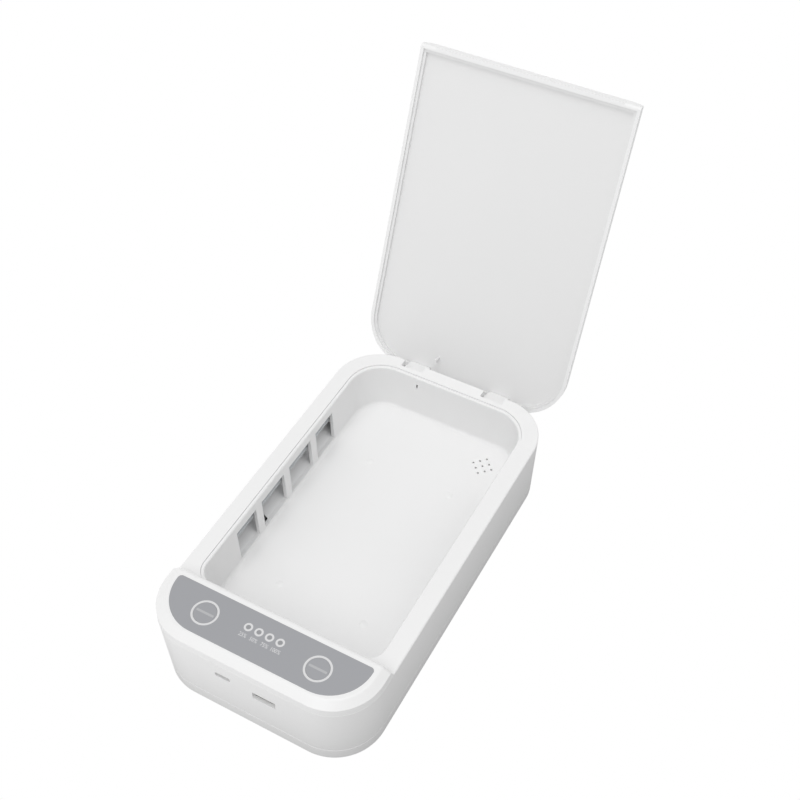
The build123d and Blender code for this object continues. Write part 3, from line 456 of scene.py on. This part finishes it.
def makeButtonBar(side):
    low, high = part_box(side + "_button")
    middle = (low + high) / 2
    deselectAll()
    height = high.z + barLook["thick"] / 2 - barLook["sink"]
    bpy.ops.mesh.primitive_cube_add(size=1, location=(middle.x, middle.y, height))
    bar = bpy.context.object
    bar.scale = (barLook["long"], barLook["wide"], barLook["thick"])
    settle(bar)
    bpy.ops.object.mode_set(mode="EDIT")
    bpy.ops.mesh.select_mode(type="EDGE")
    bpy.ops.mesh.select_all(action="DESELECT")
    shape = bmesh.from_edit_mesh(bar.data)
    for edge in shape.edges:
        tall = abs(edge.verts[0].co.z - edge.verts[1].co.z)
        edge.select_set(tall > barLook["thick"] / 2)
    bmesh.update_edit_mesh(bar.data)
    bpy.ops.mesh.bevel(offset=barLook["cornerRound"], segments=barLook["cornerSteps"])
    bpy.ops.object.mode_set(mode="OBJECT")
    return finishPiece(outwards(bar), side + "ButtonBar", side + "_push_button", greyPrint)


makeButtonBar("left")
makeButtonBar("right")
print("stage: button bars")


# ---------- rubber feet ----------

footShape = {"radius": 0.005, "sides": 64, "rim": 0.0005, "rimSteps": 3, "inset": 0.0014, "edge": 0.00012,
             "hollow": 0.0003, "smoothDegrees": 35}


def makeFeet():
    # round pads with a softened rim and a shallow dished sole
    low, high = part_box("rubber_feet")
    radius = footShape["radius"]
    height = high.z - low.z
    deselectAll()
    bpy.ops.mesh.primitive_cylinder_add(vertices=footShape["sides"], radius=radius, depth=height,
                                        location=(low.x + radius, low.y + radius, low.z + height / 2))
    foot = settle(bpy.context.object)
    bpy.ops.object.mode_set(mode="EDIT")
    bpy.ops.mesh.select_mode(type="FACE")
    pickFaces(foot, facesDown)
    bpy.ops.mesh.bevel(offset=footShape["rim"], segments=footShape["rimSteps"])
    pickFaces(foot, lambda face: facesDown(face) and face.calc_area() > radius * radius)
    bpy.ops.mesh.inset(thickness=footShape["inset"])
    bpy.ops.mesh.inset(thickness=footShape["edge"])
    bpy.ops.transform.translate(value=(0, 0, footShape["hollow"]))
    bpy.ops.object.mode_set(mode="OBJECT")
    foot = atFourCorners(outwards(foot), low, high, radius)
    makeActive(foot)
    bpy.ops.object.shade_smooth_by_angle(angle=math.radians(footShape["smoothDegrees"]))
    finishPiece(foot, "softFeet", "base", footRubber)
    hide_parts("rubber_feet")
    return foot


makeFeet()
print("stage: feet")


# ---------- case screws with crossed recesses ----------

screwShape = {"headRadius": 0.0021, "headHeight": 0.0013, "shankRadius": 0.0011, "sides": 40,
              "round": 0.0004, "roundSteps": 4, "crossLong": 0.0026, "crossWide": 0.0006,
              "crossDeep": 0.0008, "point": 0.6, "pointHeight": 0.001, "smoothDegrees": 30}


def boxAt(size, place):
    deselectAll()
    bpy.ops.mesh.primitive_cube_add(size=1, location=place)
    block = bpy.context.object
    block.scale = size
    return settle(block)


def pullUp(height):
    bpy.ops.mesh.extrude_region_move(TRANSFORM_OT_translate={"value": (0, 0, height)})


def cutCross(screw, place):
    deep, long, wide = screwShape["crossDeep"], screwShape["crossLong"], screwShape["crossWide"]
    for size in ((long, wide, 2 * deep), (wide, long, 2 * deep)):
        cutter = boxAt(size, place)
        makeActive(screw)
        cut = screw.modifiers.new("recess", "BOOLEAN")
        cut.object = cutter
        cut.solver = "EXACT"
        bpy.ops.object.modifier_apply(modifier=cut.name)
        bpy.data.objects.remove(cutter)


def makeCaseScrews():
    low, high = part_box("case_screws")
    radius, height = screwShape["headRadius"], screwShape["headHeight"]
    x, y = low.x + radius, low.y + radius
    deselectAll()
    bpy.ops.mesh.primitive_cylinder_add(vertices=screwShape["sides"], radius=radius, depth=height,
                                        location=(x, y, low.z + height / 2))
    screw = settle(bpy.context.object)
    bpy.ops.object.mode_set(mode="EDIT")
    bpy.ops.mesh.select_mode(type="FACE")
    pickFaces(screw, facesDown)
    bpy.ops.mesh.bevel(offset=screwShape["round"], segments=screwShape["roundSteps"])
    pickFaces(screw, facesUp)
    bpy.ops.mesh.inset(thickness=radius - screwShape["shankRadius"])
    pullUp(high.z - low.z - height - screwShape["pointHeight"])
    pullUp(screwShape["pointHeight"])
    bpy.ops.transform.resize(value=(screwShape["point"], screwShape["point"], 1), center_override=(x, y, 0))
    bpy.ops.object.mode_set(mode="OBJECT")
    cutCross(screw, (x, y, low.z))
    screw = atFourCorners(outwards(screw), low, high, radius)
    makeActive(screw)
    bpy.ops.object.shade_smooth_by_angle(angle=math.radians(screwShape["smoothDegrees"]))
    finishPiece(screw, "crossScrews", "base", screwSteel)
    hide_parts("case_screws")
    return screw


makeCaseScrews()
print("stage: case screws")


# ---------- stage, lights, camera ----------

stageLook = {"floor": 6.0, "floorShift": 0.6,
             "bounceLeft": 1.176, "bounceRight": 0.766, "shadeFrom": -0.03, "shadeTo": 0.10,
             "near": 0.45, "nearReach": 0.07, "footprint": (0.0585, 0.105),
             "sky": 0.621, "lampSize": 1.8,
             "key": 16.2, "keyPlace": (0, -1.864, 2.222),
             "top": 22.3, "topPlace": (0, -0.101, 2.898), "aim": (0, 0, 0.05)}
cameraLook = {"lens": 56.407, "sensor": 36, "near": 0.01, "far": 20,
              "place": (0.20627, -0.32056, 0.54676), "turnDegrees": (42.220, 0.517, 28.944)}


def brightForCamera(tree, strength):
    # pure white where the camera looks, a strength of its own where the light falls on the object
    path = tree.nodes.new("ShaderNodeLightPath")
    mix = tree.nodes.new("ShaderNodeMapRange")
    mix.inputs["To Max"].default_value = 1
    if isinstance(strength, float):
        mix.inputs["To Min"].default_value = strength
    else:
        tree.links.new(strength, mix.inputs["To Min"])
    tree.links.new(path.outputs["Is Camera Ray"], mix.inputs["Value"])
    return mix.outputs["Result"]


def floorBounce(tree):
    # the floor throws back less light on the object's right and close to it, where its soft shadow lies
    make, wire = tree.nodes.new, tree.links.new
    coord = make("ShaderNodeTexCoord")
    apart = make("ShaderNodeSeparateXYZ")
    wire(coord.outputs["Object"], apart.inputs[0])
    ramp = make("ShaderNodeMapRange")
    ramp.interpolation_type = "SMOOTHSTEP"
    ramp.inputs["From Min"].default_value = stageLook["shadeFrom"]
    ramp.inputs["From Max"].default_value = stageLook["shadeTo"]
    ramp.inputs["To Min"].default_value = stageLook["bounceLeft"]
    ramp.inputs["To Max"].default_value = stageLook["bounceRight"]
    wire(apart.outputs["X"], ramp.inputs["Value"])
    halves = make("ShaderNodeVectorMath")
    halves.operation = "ABSOLUTE"
    wire(coord.outputs["Object"], halves.inputs[0])
    past = make("ShaderNodeVectorMath")
    past.operation = "SUBTRACT"
    past.inputs[1].default_value = (*stageLook["footprint"], 0)
    wire(halves.outputs[0], past.inputs[0])
    outside = make("ShaderNodeVectorMath")
    outside.operation = "MAXIMUM"
    wire(past.outputs[0], outside.inputs[0])
    away = make("ShaderNodeVectorMath")
    away.operation = "LENGTH"
    wire(outside.outputs[0], away.inputs[0])
    close = make("ShaderNodeMapRange")
    close.interpolation_type = "SMOOTHSTEP"
    close.inputs["From Max"].default_value = stageLook["nearReach"]
    close.inputs["To Min"].default_value = stageLook["near"]
    wire(away.outputs["Value"], close.inputs["Value"])
    glow = make("ShaderNodeMath")
    glow.operation = "MULTIPLY"
    wire(ramp.outputs["Result"], glow.inputs[0])
    wire(close.outputs["Result"], glow.inputs[1])
    return glow.outputs[0]


def clearFromBelow(tree, shader):
    # the floor's underside lets the camera through, so the bottom can be looked at
    facing = tree.nodes.new("ShaderNodeNewGeometry")
    clear = tree.nodes.new("ShaderNodeBsdfTransparent")
    mix = tree.nodes.new("ShaderNodeMixShader")
    tree.links.new(facing.outputs["Backfacing"], mix.inputs["Fac"])
    tree.links.new(shader.outputs["BSDF"], mix.inputs[1])
    tree.links.new(clear.outputs["BSDF"], mix.inputs[2])
    tree.links.new(mix.outputs["Shader"], tree.nodes["Material Output"].inputs["Surface"])


def makeStage():
    deselectAll()
    # the plane is moved sideways, so that the line between its triangles doesn't cross the object
    bpy.ops.mesh.primitive_plane_add(size=stageLook["floor"], location=(stageLook["floorShift"], 0, 0))
    floor = settle(bpy.context.object)
    floor.name = "floor"
    mat, tree, shader = startMaterial("paleFloor")
    shader.inputs["Base Color"].default_value = (0, 0, 0, 1)
    shader.inputs["Roughness"].default_value = 1
    shader.inputs["Specular IOR Level"].default_value = 0
    shader.inputs["Emission Color"].default_value = (1, 1, 1, 1)
    tree.links.new(brightForCamera(tree, floorBounce(tree)), shader.inputs["Emission Strength"])
    clearFromBelow(tree, shader)
    floor.data.materials.append(mat)
    world = bpy.data.worlds.new("softSky")
    bpy.context.scene.world = world
    world.use_nodes = True
    back = world.node_tree.nodes["Background"]
    back.inputs["Color"].default_value = (1, 1, 1, 1)
    world.node_tree.links.new(brightForCamera(world.node_tree, stageLook["sky"]), back.inputs["Strength"])


def aimedLight(name, place, size, energy):
    lamp = bpy.data.lights.new(name, "AREA")
    lamp.shape = "DISK"
    lamp.size = size
    lamp.energy = energy
    holder = bpy.data.objects.new(name, lamp)
    bpy.context.scene.collection.objects.link(holder)
    holder.location = place
    way = Vector(stageLook["aim"]) - Vector(place)
    holder.rotation_euler = way.to_track_quat("-Z", "Y").to_euler()
    return holder


def makeCamera():
    cam = bpy.data.cameras.new("photoCamera")
    cam.lens = cameraLook["lens"]
    cam.sensor_width = cameraLook["sensor"]
    cam.clip_start = cameraLook["near"]
    cam.clip_end = cameraLook["far"]
    holder = bpy.data.objects.new("photoCamera", cam)
    bpy.context.scene.collection.objects.link(holder)
    holder.location = cameraLook["place"]
    holder.rotation_euler = [math.radians(turn) for turn in cameraLook["turnDegrees"]]
    bpy.context.scene.camera = holder


makeStage()
aimedLight("keyLight", stageLook["keyPlace"], stageLook["lampSize"], stageLook["key"])
aimedLight("topLight", stageLook["topPlace"], stageLook["lampSize"], stageLook["top"])
makeCamera()
bpy.context.scene.view_settings.view_transform = "Standard"
print("stage: floor, lights and camera")
